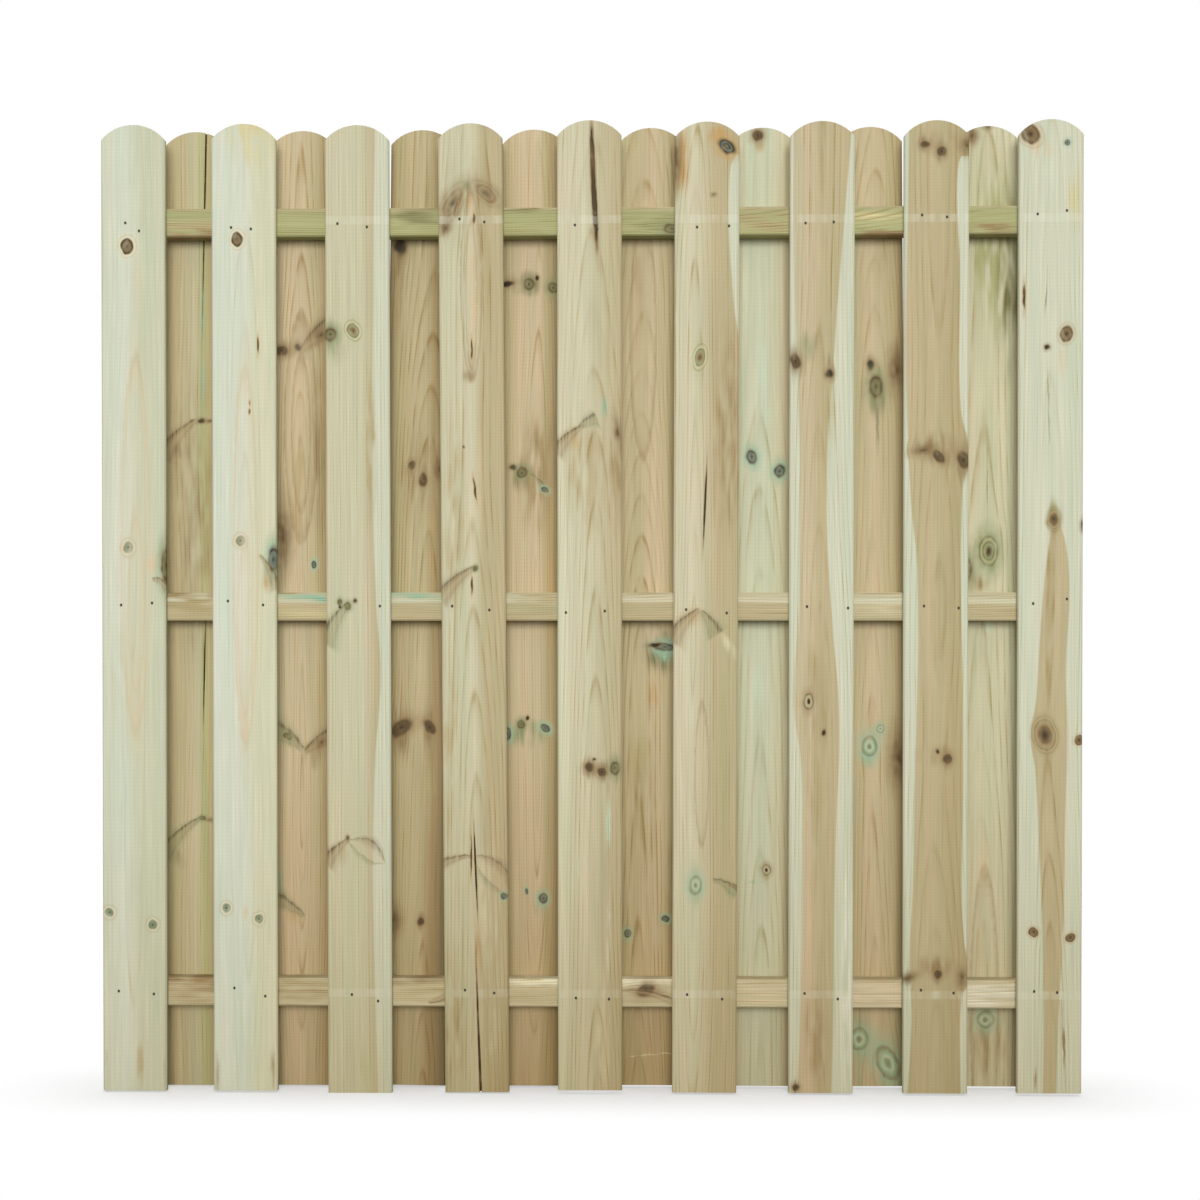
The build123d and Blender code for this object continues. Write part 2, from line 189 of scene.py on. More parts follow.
# The front boards, left to right: places in millimetres across from the middle and up from the ground
FRONT = [
    Timber(
        streaks=[(-59, "sap"), (-20, "frost"), (15, "lichen"), (59, "lichen")],
        grain=Grain(2, 26, -0.035, 8, 0.25),
        knots=[
            Knot(-11, 1560, 22, 27, "ringed"), Knot(-10, 1006, 16, 20, "swirl"),
            Knot(61, 974, 20, 58, "green"), Knot(-47, 332, 15, 16, "swirl"), Knot(34, 310, 15, 16, "swirl"),
            Spike(34, 950, 62, 934, 16), Knot(3, 1010, 54, 706, "blush"), Knot(4, 900, 30, 330, "blush"),
        ],
        patches=[
            Patch(8, 1470, 26, 260, "peach", 0.25), Patch(36, 975, 50, 60, "peach", 0.4),
            Patch(3, 690, 14, 110, "peach", 0.5), Patch(10, 50, 20, 130, "heart", 0.7),
            Patch(-52, 30, 14, 120, "clay", 0.4), Patch(56, 30, 10, 120, "clay", 0.3),
            Patch(0, 752, 150, 320, "lichen", 0.8),
        ],
        foot=0.45,
    ),
    Timber(
        streaks=[(-59, "frost"), (0, "frost"), (25, "pearl"), (59, "pearl")],
        grain=Grain(4, 24, -0.035, 8, 0.25),
        knots=[
            Knot(-12, 1572, 19, 25, "ringed"), Knot(-7, 1018, 15, 18, "swirl"),
            Knot(26, 1378, 4, 28, "pocket"), Knot(11, 1272, 3, 10, "pocket"),
            Knot(10, 1256, 4, 9, "pocket"), Knot(54, 984, 20, 44, "blue"), Knot(-35, 341, 14, 16, "swirl"),
            Knot(25, 321, 14, 16, "swirl"), Spike(28, 992, 60, 930, 18), Knot(2, 990, 46, 710, "blush"),
            Knot(1, 860, 26, 330, "blush"),
        ],
        patches=[
            Patch(15, 1790, 130, 230, "butter", 0.8), Patch(42, 950, 34, 70, "amber", 0.6),
            Patch(0, 334, 14, 34, "peach", 0.7), Patch(0, 640, 18, 300, "peach", 0.3),
            Patch(-52, 30, 14, 120, "clay", 0.3), Patch(50, 40, 16, 120, "clay", 0.4),
        ],
        foot=0.4,
    ),
    Timber(
        streaks=[(-59, "straw"), (5, "straw"), (22, "tan"), (33, "heart"), (59, "tan")],
        grain=Grain(85, 20, 0, 6, 0.5),
        heart=Heart([(0, -70), (1780, -70)], [(0, 30), (600, 30), (780, 40), (900, 33), (1780, 33)], "sap"),
        knots=[
            Knot(-50, 1397, 22, 24, "green", -30), Knot(-8, 1404, 20, 26, "hoop", 25),
            Knot(-34, 905, 8, 12, "green"), Knot(-19, 898, 10, 14, "green"), Knot(-6, 907, 6, 8, "dark"),
            Spike(-18, 904, -62, 830, 32, "greenbranch"), Knot(-22, 470, 6, 9, "dark"),
            Spike(-20, 468, -62, 424, 26), Spike(-20, 468, 46, 424, 34, "wing"),
        ],
        patches=[
            Patch(-40, 1380, 60, 100, "fern", 0.4), Patch(-30, 440, 50, 60, "heart", 0.4),
            Patch(10, 50, 100, 160, "lime", 0.25), Patch(24, 1180, 26, 380, "toffee", 0.9),
        ],
        stickers=True,
    ),
    Timber(
        streaks=[(-59, "straw"), (-15, "straw"), (0, "sand"), (22, "heart"), (59, "heart")],
        grain=Grain(6, 20, 0.025, 6, 0.55),
        knots=[
            Knot(-34, 1636, 26, 66, "soft", -32), Knot(28, 1654, 24, 48, "soft", 50),
            Spike(-14, 1656, -28, 1612, 9), Knot(-46, 1592, 14, 20, "smear", -30),
            Knot(0, 1484, 40, 348, "arch"), Knot(0, 1470, 22, 280, "arch"), Knot(6, 1608, 5, 18, "pocket"),
            Knot(0, 1369, 4, 36, "pocket"), Knot(-17, 1189, 4, 5, "dark"),
            Knot(4, 1113, 4, 40, "pocket", 8), Spike(4, 970, -62, 912, 30), Knot(4, 968, 8, 8, "green"),
            Knot(-3, 936, 4, 30, "pocket"), Spike(-6, 438, -62, 424, 16),
            Spike(-6, 440, 66, 366, 40, "wing"), Knot(52, 364, 12, 10, "blue", -30),
            Knot(-8, 440, 3, 70, "pocket"), Knot(6.5, 2, 4, 404, "crack", 1.7),
            Knot(0, 414, 3.2, 134, "crack", 2),
        ],
        patches=[
            Patch(2, 1640, 22, 70, "peach", 0.7), Patch(-5, 1320, 36, 34, "clay", 0.6),
            Patch(2, 1480, 26, 360, "peach", 0.5), Patch(14, 1140, 16, 220, "peach", 0.4),
            Patch(-34, 1636, 60, 80, "clay", 0.6), Patch(34, 1652, 56, 50, "clay", 0.6),
            Patch(4, 300, 24, 260, "peach", 0.35), Patch(-34, 1060, 70, 560, "heart", 0.6),
            Patch(22, 1540, 50, 340, "toffee", 0.7), Patch(-42, 120, 60, 420, "toffee", 0.5),
            Patch(-46, 640, 44, 520, "heart", 0.6), Patch(16, 350, 32, 260, "cream", 0.4),
            Patch(28, 240, 60, 620, "sand", 0.55), Patch(-4, 1668, 44, 26, "fern", 0.5),
        ],
        stickers=True, sawn=0.8, foot=0.85,
    ),
    Timber(
        streaks=[(-59, "sand"), (-10, "sand"), (20, "tan"), (59, "heart")],
        grain=Grain(12, 26, 0.03, 5.5, 0.7),
        heart=Heart(
            [(0, -42), (700, -41), (1010, -44), (1300, -56), (1780, -66)],
            [(0, 70), (1780, 70)],
            "pearl",
        ),
        knots=[
            Spike(-20, 1226, 12, 1242, 22, "greenbranch"), Spike(-10, 1230, -62, 1180, 26),
            Knot(52, 1215, 10, 46, "smear", 10), Knot(-1, 602, 16, 18, "brown"),
            Knot(22, 593, 18, 16, "brown", -20), Knot(46, 600, 16, 24, "green"), Knot(8, 616, 5, 5, "dark"),
            Knot(6, 1712, 8, 124, "crack", 2), Knot(9.4, 1636, 9, 144, "crack", 3),
        ],
        patches=[
            Patch(26, 1262, 24, 60, "verdigris", 0.5), Patch(40, 570, 24, 60, "fern", 0.5),
            Patch(34, 502, 13, 130, "mint", 0.9), Patch(34, 305, 9, 240, "chalk", 0.4),
            Patch(16, 600, 90, 44, "clay", 0.45), Patch(0, 1140, 130, 280, "heart", 0.8),
            Patch(50, 1150, 40, 320, "hazel", 0.6), Patch(-30, 1205, 50, 60, "amber", 0.3),
            Patch(22, 110, 40, 320, "cream", 0.45),
        ],
        stickers=True, foot=0.75,
    ),
    Timber(
        streaks=[(-59, "sand"), (-25, "sand"), (20, "heart"), (59, "heart")],
        grain=Grain(-22, 24, -0.03, 5.5, 0.6),
        heart=Heart(
            [(0, -70), (1780, -70)],
            [(0, 70), (1380, 62), (1450, 52), (1700, 44), (1730, 62)],
            "sap",
        ),
        knots=[
            Knot(36, 1738, 34, 22, "slaty", -35), Knot(-2, 1084, 3.4, 127, "crack", -2.4),
            Knot(-57, 1716, 16, 70, "smear"), Knot(-12, 1353, 18, 32, "hoop", -10),
            Spike(-12, 892, -62, 836, 32), Spike(-9, 888, 20, 846, 26, "greenbranch"),
            Knot(-6, 590, 26, 270, "arch"), Knot(-17, 385, 22, 34, "teal"),
            Spike(14, 398, 58, 372, 18, "greenbranch"), Spike(36, 392, 60, 380, 7),
            Knot(12, 1650, 8, 6, "smear"),
        ],
        patches=[
            Patch(18, 1760, 50, 46, "amber", 0.8), Patch(-48, 1722, 46, 180, "amber", 0.8),
            Patch(40, 828, 24, 76, "cream", 0.55, 31), Patch(34, 600, 24, 820, "moss", 0.35),
            Patch(-20, 880, 90, 50, "amber", 0.25), Patch(40, 250, 40, 600, "moss", 0.2),
            Patch(50, 372, 16, 26, "verdigris", 0.6), Patch(40, 1210, 72, 540, "hazel", 0.8),
        ],
        stickers=True,
    ),
    Timber(
        streaks=[(-59, "tan"), (-20, "rose"), (0, "heart"), (59, "heart")],
        grain=Grain(0, 13, 0.02, 6, 0.6),
        heart=Heart(
            [
                (10, -43), (115, -38), (467, -33), (598, -36), (728, -51), (900, -43), (1237, -42),
                (1436, -47), (1742, -53),
            ],
            [
                (10, 18), (115, 21), (467, 26), (690, 31), (900, 17), (1150, 11), (1331, 24), (1542, 38),
                (1742, 52),
            ],
            "sap",
        ),
        knots=[
            Knot(-48, 1345, 18, 28, "brown", 20), Knot(14, 1323, 13, 15, "dark"),
            Knot(-23, 723, 17, 28, "eye"), Knot(5, 666, 6, 10, "dark"), Knot(-45, 14, 12, 12, "brown"),
        ],
        patches=[
            Patch(-25, 1375, 46, 80, "fern", 0.6), Patch(-6, 715, 70, 210, "hazel", 0.5),
            Patch(2, 1240, 64, 320, "toffee", 0.45), Patch(14, 1335, 16, 70, "umber", 0.5),
            Patch(-8, 640, 66, 1000, "toffee", 0.6), Patch(-6, 110, 66, 260, "hazel", 0.6),
            Patch(50, 180, 36, 640, "chalk", 0.7),
        ],
        stickers=True,
    ),
    Timber(
        streaks=[(-59, "heart"), (0, "heart"), (30, "toffee"), (59, "toffee")],
        grain=Grain(0, 60, 0.01, 5, 0.4),
        heart=Heart(
            [
                (27, -50), (159, -44), (225, -48), (400, -40), (642, -34), (973, -34), (1096, -45),
                (1612, -53),
            ],
            [
                (27, 44), (180, 46), (225, 60), (291, 51), (600, 52), (1096, 47), (1184, 57), (1261, 45),
                (1500, 42), (1700, 37), (1725, 64),
            ],
            "sap",
        ),
        knots=[
            Knot(-21, 1740, 16, 13, "brown"), Knot(9, 1727, 17, 18, "brown"),
            Knot(55, 1738, 18, 22, "smear"), Knot(-22, 1183, 36, 14, "smear", 15),
            Knot(5, 1171, 28, 15, "brown", -50), Knot(50, 1165, 22, 32, "brown", 20),
            Knot(3, 631, 7, 8, "dark"), Knot(22, 618, 16, 18, "brown"), Knot(5, 223, 14, 16, "brown"),
            Knot(49, 218, 16, 24, "smear"), Knot(-50, 216, 30, 12, "smear", 20),
        ],
        patches=[
            Patch(0, 1186, 120, 80, "clay", 0.6), Patch(0, 236, 110, 60, "clay", 0.6),
            Patch(0, 1745, 120, 70, "clay", 0.3), Patch(0, 625, 100, 60, "clay", 0.3),
            Patch(12, 500, 6, 300, "moss", 0.5),
        ],
        stickers=True, sawn=0.8,
    ),
    Timber(
        streaks=[(-59, "heart"), (0, "heart"), (59, "heart")],
        grain=Grain(2, 18, 0.02, 6, 0.5),
        heart=Heart(
            [
                (27, -14), (247, -13), (379, -16), (598, -26), (664, -34), (710, -27), (851, -19),
                (921, -14), (991, -7), (1050, 6), (1080, 20),
            ],
            [
                (27, 11), (185, 17), (247, 22), (379, 28), (510, 31), (664, 35), (780, 30), (921, 35),
                (991, 30), (1050, 14), (1080, 0),
            ],
            "sap",
        ),
        knots=[
            Knot(-38, 1758, 36, 30, "tight", -50), Knot(29, 1742, 9, 10, "blue"),
            Knot(-49, 1461, 5, 46, "pocket"), Knot(28, 1394, 22, 28, "tight", -15),
            Knot(-7, 1370, 9, 9, "dark"), Knot(6, 1056, 16, 24, "collar"), Knot(60, 1046, 8, 18, "dark"),
            Knot(-9, 662, 26, 38, "collar", 10), Knot(53, 653, 16, 18, "tight", -35),
            Knot(-29, 301, 16, 18, "tight", 30), Knot(38, 291, 18, 14, "tight", 30),
        ],
        patches=[
            Patch(-20, 1734, 70, 50, "peach", 0.7, -40), Patch(45, 1640, 44, 150, "butter", 0.5),
            Patch(-3, 1228, 5, 300, "olive", 0.5, 2), Patch(-9, 1460, 4, 180, "olive", 0.5, -3),
            Patch(20, 1340, 22, 80, "peach", 0.5), Patch(10, 1062, 40, 80, "moss", 0.5),
            Patch(-9, 660, 60, 70, "clay", 0.4), Patch(26, 100, 8, 220, "clay", 0.7, 3),
            Patch(-24, 30, 8, 70, "clay", 0.6),
        ],
        stickers=True,
    ),
]

# The rear boards, left to right. The fawn and ash at their edges, most of all at the right edges of the
# first five, with the long fawn and ash patches along them, are painted shadow of the front boards
REAR = [
    Timber(
        streaks=[
            (-59, "toffee"), (-28, "heart"), (2, "tan"), (16, "lime"), (28, "toffee"), (44, "fawn"),
            (59, "ash"),
        ],
        grain=Grain(-60, 30, 0, 6, 0.5),
        knots=[
            Spike(0, 1246, -62, 1180, 32), Knot(10, 1244, 12, 8, "dark"), Knot(26, 1244, 12, 6, "smear"),
            Spike(6, 502, -62, 436, 26, "greenbranch"), Knot(10, 502, 12, 8, "green"),
            Knot(24, 498, 10, 6, "smear"), Knot(19.5, 1781, 3, 610, "crack", -1.3),
            Knot(14, 779, 2.4, 173, "crack", -1.4),
        ],
        patches=[
            Patch(12, 1390, 13, 420, "verdigris", 0.6), Patch(12, 700, 16, 560, "moss", 0.5),
            Patch(-30, 1190, 40, 60, "umber", 0.5, 40), Patch(-40, 430, 40, 70, "umber", 0.35, 40),
            Patch(46, 1000, 36, 1100, "fawn", 0.6), Patch(0, 1060, 140, 760, "fawn", 0.35),
        ],
        sawn=0.8, foot=0.55,
    ),
    Timber(
        streaks=[(-59, "heart"), (-30, "rose"), (0, "rose"), (24, "heart"), (42, "hazel"), (59, "fawn")],
        grain=Grain(-5, 22, -0.035, 4.5, 0.75),
        knots=[
            Knot(-40, 1374, 24, 18, "brown"), Knot(-10, 1380, 12, 14, "dark"),
            Spike(-4, 1374, 62, 1424, 46), Knot(34, 1404, 24, 16, "smear", 45),
            Knot(-38, 1030, 26, 80, "smear"), Knot(20, 976, 9, 14, "blue"),
            Spike(0, 630, -62, 672, 36, "greenbranch"), Knot(-30, 655, 16, 10, "green", -40),
            Spike(2, 626, 62, 660, 36), Knot(34, 644, 22, 12, "smear", 38),
            Spike(0, 318, -56, 354, 24, "greenbranch"), Knot(-4, 1230, 62, 430, "arch"),
            Knot(-4, 1220, 36, 300, "arch"),
        ],
        patches=[
            Patch(-8, 1120, 24, 260, "amber", 0.7), Patch(-48, 390, 22, 100, "verdigris", 0.6),
            Patch(-48, 700, 16, 120, "verdigris", 0.4), Patch(0, 1380, 110, 60, "umber", 0.3),
            Patch(20, 620, 60, 70, "umber", 0.35), Patch(-20, 320, 50, 40, "amber", 0.4, -40),
            Patch(0, 1150, 120, 320, "toffee", 0.5), Patch(34, 1200, 60, 440, "fawn", 0.6),
        ],
        sawn=0.8, foot=0.75,
    ),
    Timber(
        streaks=[
            (-59, "fawn"), (-42, "toffee"), (-15, "heart"), (10, "heart"), (26, "hazel"), (42, "fawn"),
            (59, "ash"),
        ],
        grain=Grain(20, 22, 0.03, 4.5, 0.8),
        knots=[
            Knot(-40, 1566, 22, 30, "dark"), Knot(-15, 1160, 12, 18, "brown", -20),
            Knot(7, 1134, 15, 26, "brown"), Knot(36, 1154, 14, 34, "smear"),
            Knot(-30, 671, 27, 46, "brown", -55), Knot(24, 673, 18, 30, "brown", 35),
            Knot(-42, 310, 24, 34, "smear"), Knot(11, 310, 12, 15, "brown"),
        ],
        patches=[
            Patch(24, 1000, 14, 300, "amber", 0.35), Patch(26, 560, 34, 220, "toffee", 0.5),
            Patch(-44, 220, 20, 60, "verdigris", 0.4), Patch(0, 1150, 130, 280, "hazel", 0.5),
            Patch(-46, 1510, 40, 320, "fawn", 0.6),
        ],
        sawn=1, foot=0.8,
    ),
    Timber(
        streaks=[
            (-59, "toffee"), (-28, "rose"), (10, "rose"), (24, "toffee"), (38, "hazel"), (50, "fawn"),
            (59, "ash"),
        ],
        grain=Grain(5, 22, -0.03, 4.5, 0.6),
        knots=[
            Knot(-50, 1497, 24, 10, "dark", 10), Knot(-9, 1497, 20, 20, "green"),
            Knot(6, 1508, 6, 10, "dark"), Knot(36, 1490, 16, 20, "green", 40),
            Knot(-39, 1156, 12, 10, "dark"), Knot(-22, 1147, 18, 18, "green"),
            Spike(-8, 1144, 22, 1114, 10, "greenbranch"), Knot(20, 1114, 14, 10, "blue", -40),
            Knot(-50, 660, 14, 22, "blue"), Knot(-24, 678, 14, 14, "green"),
            Knot(21, 671, 18, 13, "blue", -35), Knot(-12, 690, 6, 7, "dark"), Knot(-14, 366, 6, 12, "blue"),
            Knot(17, 353, 15, 18, "blue"),
        ],
        patches=[
            Patch(-10, 1498, 120, 60, "umber", 0.6), Patch(30, 1000, 16, 800, "amber", 0.35),
            Patch(-10, 1135, 100, 70, "olive", 0.6), Patch(-16, 660, 100, 70, "fern", 0.8),
            Patch(12, 340, 26, 60, "verdigris", 0.5), Patch(10, 1150, 120, 300, "hazel", 0.8),
            Patch(44, 1200, 36, 320, "ash", 0.4),
        ],
        sawn=0.6, foot=0.95,
    ),
    Timber(
        streaks=[(-59, "heart"), (-30, "heart"), (10, "rose"), (30, "heart"), (44, "hazel"), (59, "fawn")],
        grain=Grain(-20, 24, 0.035, 4.5, 0.8),
        knots=[
            Knot(26, 822, 34, 15, "blue", -8), Knot(8, 826, 22, 7, "dark", 6),
            Knot(-43, 288, 12, 14, "blue"), Knot(28, 316, 14, 12, "blue"), Knot(-14, 1400, 50, 460, "arch"),
        ],
        patches=[
            Patch(22, 815, 100, 110, "olive", 0.7), Patch(28, 817, 66, 66, "verdigris", 0.75),
            Patch(22, 824, 84, 28, "umber", 0.7), Patch(8, 740, 40, 90, "amber", 0.5),
            Patch(0, 62, 130, 3.5, "cream", 1.5, 5), Patch(-26, 1500, 50, 400, "clay", 0.25),
            Patch(30, 1560, 60, 380, "heart", 0.6), Patch(40, 360, 40, 300, "fawn", 0.4),
            Patch(14, 850, 44, 50, "olive", 0.5), Patch(-20, 540, 100, 560, "toffee", 0.6),
        ],
        foot=1.0,
    ),
    Timber(
        streaks=[(-59, "tan"), (-30, "lichen"), (10, "lichen"), (32, "straw"), (46, "tan"), (59, "heart")],
        grain=Grain(0, 26, 0.03, 7, 0.5),
        knots=[
            Knot(-9, 1770, 20, 20, "brown"), Knot(-20, 1175, 18, 26, "blue", 15),
            Knot(32, 1149, 19, 24, "blue", -20), Knot(8, 407, 16, 18, "eye"),
        ],
        patches=[
            Patch(0, 1300, 34, 500, "mint", 0.5), Patch(-10, 385, 40, 10, "verdigris", 0.6),
            Patch(-6, 1748, 30, 30, "amber", 0.5), Patch(-8, 700, 34, 300, "mint", 0.4),
            Patch(46, 610, 36, 320, "straw", 0.6),
        ],
        foot=0.7,
    ),
    Timber(
        streaks=[
            (-59, "toffee"), (-30, "heart"), (0, "rose"), (28, "heart"), (44, "toffee"), (59, "hazel"),
        ],
        grain=Grain(0, 20, 0.03, 4.5, 0.6),
        knots=[
            Knot(-2, 1345, 13, 18, "dark"), Knot(8, 1305, 24, 40, "green"), Knot(47, 1335, 26, 54, "smear"),
            Knot(12, 670, 13, 16, "teal"), Knot(-8, 638, 28, 36, "teal"), Knot(46, 614, 28, 70, "smear"),
            Knot(-31, 93, 34, 40, "teal"), Knot(22, 48, 38, 66, "teal", 25),
        ],
        patches=[
            Patch(8, 1290, 70, 110, "olive", 0.45), Patch(30, 1560, 70, 320, "toffee", 0.55),
            Patch(10, 1230, 10, 140, "olive", 0.5), Patch(-8, 625, 40, 70, "verdigris", 0.5),
            Patch(-30, 40, 12, 90, "verdigris", 0.8), Patch(24, 44, 40, 70, "verdigris", 0.6, 25),
        ],
        foot=0.7,
    ),
    Timber(
        streaks=[(-59, "tan"), (-20, "straw"), (20, "straw"), (42, "straw"), (59, "tan")],
        grain=Grain(-8, 24, 0.03, 6.5, 0.6),
        knots=[
            Knot(-1, 1785, 14, 10, "smear"), Knot(-29, 1768, 18, 20, "smear"),
            Knot(3, 1000, 36, 58, "rings"), Knot(-40, 966, 24, 44, "green"), Knot(-1, 130, 32, 30, "teal"),
            Knot(-3, 150, 54, 530, "arch"),
        ],
        patches=[
            Patch(-14, 942, 50, 50, "clay", 0.6), Patch(0, 1110, 4, 260, "olive", 0.5),
            Patch(-3, 400, 34, 200, "peach", 0.4), Patch(0, 860, 30, 60, "mint", 0.5),
            Patch(14, 1560, 120, 440, "moss", 0.8), Patch(40, 1500, 60, 480, "olive", 0.55),
            Patch(0, 90, 130, 260, "hazel", 0.5), Patch(44, 350, 40, 320, "straw", 0.5),
        ],
        foot=0.7,
    ),
]

# The rails: places across are down from the middle line, and places up are along it from the middle
RAILS = {
    "top_rail": Timber(
        streaks=[(-26, "heart"), (-16, "moss"), (8, "lime"), (26, "moss")],
        grain=Grain(-40, 22, 0.06, 4, 1.2),
        knots=[Knot(14, 150, 16, 30, "green")],
        patches=[
            Patch(6, -735, 50, 240, "heart", 0.5), Patch(20, -735, 34, 240, "hazel", 0.8),
            Patch(-10, -321, 64, 200, "olive", 0.4), Patch(-20, -105, 16, 160, "olive", 0.25),
            Patch(0, 110, 60, 200, "olive", 0.2), Patch(0, 320, 70, 220, "toffee", 0.7),
            Patch(-6, 527, 40, 200, "butter", 0.5), Patch(24, 527, 18, 220, "clay", 0.9),
            Patch(25, -735, 16, 240, "clay", 0.6), Patch(16, 735, 36, 220, "clay", 0.6),
            Patch(18, 160, 20, 40, "verdigris", 0.6),
        ],
        foot=0,
    ),
    "middle_rail": Timber(
        streaks=[(-26, "tan"), (-21, "tan"), (-14, "sand"), (-9, "sand"), (-5, "heart"), (26, "heart")],
        grain=Grain(-40, 22, 0.02, 4, 1.0),
        knots=[],
        patches=[
            Patch(-18, -428, 34, 480, "verdigris", 0.75), Patch(-14, -735, 90, 300, "toffee", 1),
            Patch(-22, -735, 36, 300, "hazel", 0.6), Patch(12, -535, 30, 160, "butter", 0.4),
            Patch(-20, -105, 50, 240, "heart", 1), Patch(-12, 570, 18, 560, "sap", 0.4),
            Patch(-24, 735, 16, 220, "tan", 0.7), Patch(2, 527, 64, 240, "cream", 0.3),
            Patch(-23, -735, 16, 260, "fawn", 0.6),
        ],
        foot=0,
    ),
    "bottom_rail": Timber(
        streaks=[(-26, "heart"), (-12, "heart"), (26, "heart")],
        grain=Grain(-40, 22, 0.02, 4, 1.0),
        knots=[
            Knot(-6, 103, 24, 34, "brown", 20), Knot(-14, -690, 18, 14, "brown"),
            Spike(-4, 60, 14, 150, 12), Spike(18, -300, 8, -268, 14),
        ],
        patches=[
            Patch(0, -640, 70, 560, "hazel", 0.7), Patch(-23, -760, 30, 260, "clay", 0.9),
            Patch(-23, -330, 30, 240, "fawn", 1), Patch(4, -200, 70, 600, "toffee", 0.6),
            Patch(6, 100, 50, 260, "hazel", 0.25), Patch(-21, 30, 30, 620, "cream", 1.3),
            Patch(0, 540, 90, 800, "rose", 0.9), Patch(2, 735, 64, 260, "chalk", 0.3),
        ],
        foot=0,
    ),
}

# Painted shade at the feet of the boards: darker and warmer towards the ground, where less light reaches,
# fading out between two levels
FOOT_SHADE_TINT = (0.66, 0.57, 0.43, 1)
FOOT_SHADE_LEVELS = (-315, 900)
FOOT_SHADE_STRENGTH = 1.25

# Stain round each nail: its width, how it fades in radii, and its cover
NAIL_STAIN = 5.6
NAIL_STAIN_EDGE = (0.55, 1.15)
NAIL_STAIN_COVER = 0.9

# Pale bands where spacers lay between the stacked boards: levels, how they fade from there, and cover
STICKER_LEVELS = (1606, 185)
STICKER_EDGE = (6.5, 8.0)
STICKER_COVER = 0.17

# Grain round a knot: the smallest knot that it parts for, how many times the knot's width and height
# it is pulled within, and by what share of the width
PULL_FROM = 12
PULL_REACH = (2.4, 4.5)
PULL_SHIFT = 0.8

# Knots sawn lengthwise: how far they arch, how thin they get, and between which shares of their length
# the inner and the outer end fade
SPIKE_ARCH = 0.5
SPIKE_THIN = 0.1
SPIKE_INNER_END = (-0.04, 0.06)
SPIKE_OUTER_END = (0.96, 1.08)

# Noise in the wood: the size of its lumps in millimetres, the start that sets it apart, and finer detail
Lumps = namedtuple("Lumps", "wide long start detail", defaults=(0.0,))
SWAY = Lumps(140, 620, 0.0)
RAGGED = Lumps(11, 17, 0.4)
PATCHY = Lumps(14, 80, 0.8, 1.0)
FIBRE = Lumps(2.4, 200, 0.2)
BANDS = Lumps(18, 420, 0.9)

# How far apart two seeds put their noise and their years, and the first seed of each row and of the rails
SEED_SHIFT = (7.31, 3.17, 0)
SEED_YEARS = 17.0
FIRST_SEEDS = {"front": 1, "rear": 21, "rails": 40}

# How far the sway moves the grain sideways and in depth, and how ragged the edges of marks are
SWAY_ACROSS = 5.0
SWAY_DEPTH = 11
RAGGED_EDGE = (1.3, 1.9, 0)

# Darkness through one year's growth, its tint at the darkest, and the tint of broad bands along the grain
YEAR = ((0, 0), (0.5, 0.06), (0.74, 0.4), (0.86, 1), (0.97, 0.1))
LATE_WOOD = (0.7, 0.61, 0.45, 1)
BAND_TINT = (0.07, 0.02, 0.04)

# Half the width of the blur at the heartwood's edge, and the share of a patch that has its full cover
HEART_BLUR = 2.0
PATCH_CORE = 0.1

# Saw marks: their spacing, which is closer on timber that shows them plainly, and how much they shade it
SAW_PITCH = 7.1
PLAIN_SAW_PITCH = 5.5
PLAINLY_SAWN = 0.7
SAW_SHADE = 0.035

WOOD_ROUGHNESS = 0.76
WOOD_SPECULAR = 0.25

# Nail steel, with the number of its spots to the metre
STEEL_DARK = (0.022, 0.02, 0.016, 1)
STEEL_PALE = (0.06, 0.05, 0.035, 1)
STEEL_SPOTS = 800.0
STEEL_ROUGHNESS = 0.6
STEEL_METALLIC = 0.6

# Nails on each rail: how far off the outer face a head's corner may lie, and the least distance between two
RAIL_NAMES = ("top", "middle", "bottom")
FACE_SLACK = 0.1 * MM
NAIL_DISTANCE = 10 * MM


def linear(tone, cover=1):
    """Tone by name as linear colour, with its cover."""
    return tuple(((c / 255 + 0.055) / 1.055) ** 2.4 for c in TONES[tone]) + (cover,)


class Wire:
    """Output of a node that Python's arithmetic can be done with."""

    def __init__(self, bench, socket):
        self.bench = bench
        self.socket = socket

    def __add__(self, other):
        return self.bench.math("ADD", self, other)

    __radd__ = __add__

    def __sub__(self, other):
        return self.bench.math("SUBTRACT", self, other)

    def __rsub__(self, other):
        return self.bench.math("SUBTRACT", other, self)

    def __mul__(self, other):
        return self.bench.math("MULTIPLY", self, other)

    __rmul__ = __mul__

    def __truediv__(self, other):
        return self.bench.math("DIVIDE", self, other)

    def __rtruediv__(self, other):
        return self.bench.math("DIVIDE", other, self)

    def __abs__(self):
        return self.bench.math("ABSOLUTE", self)


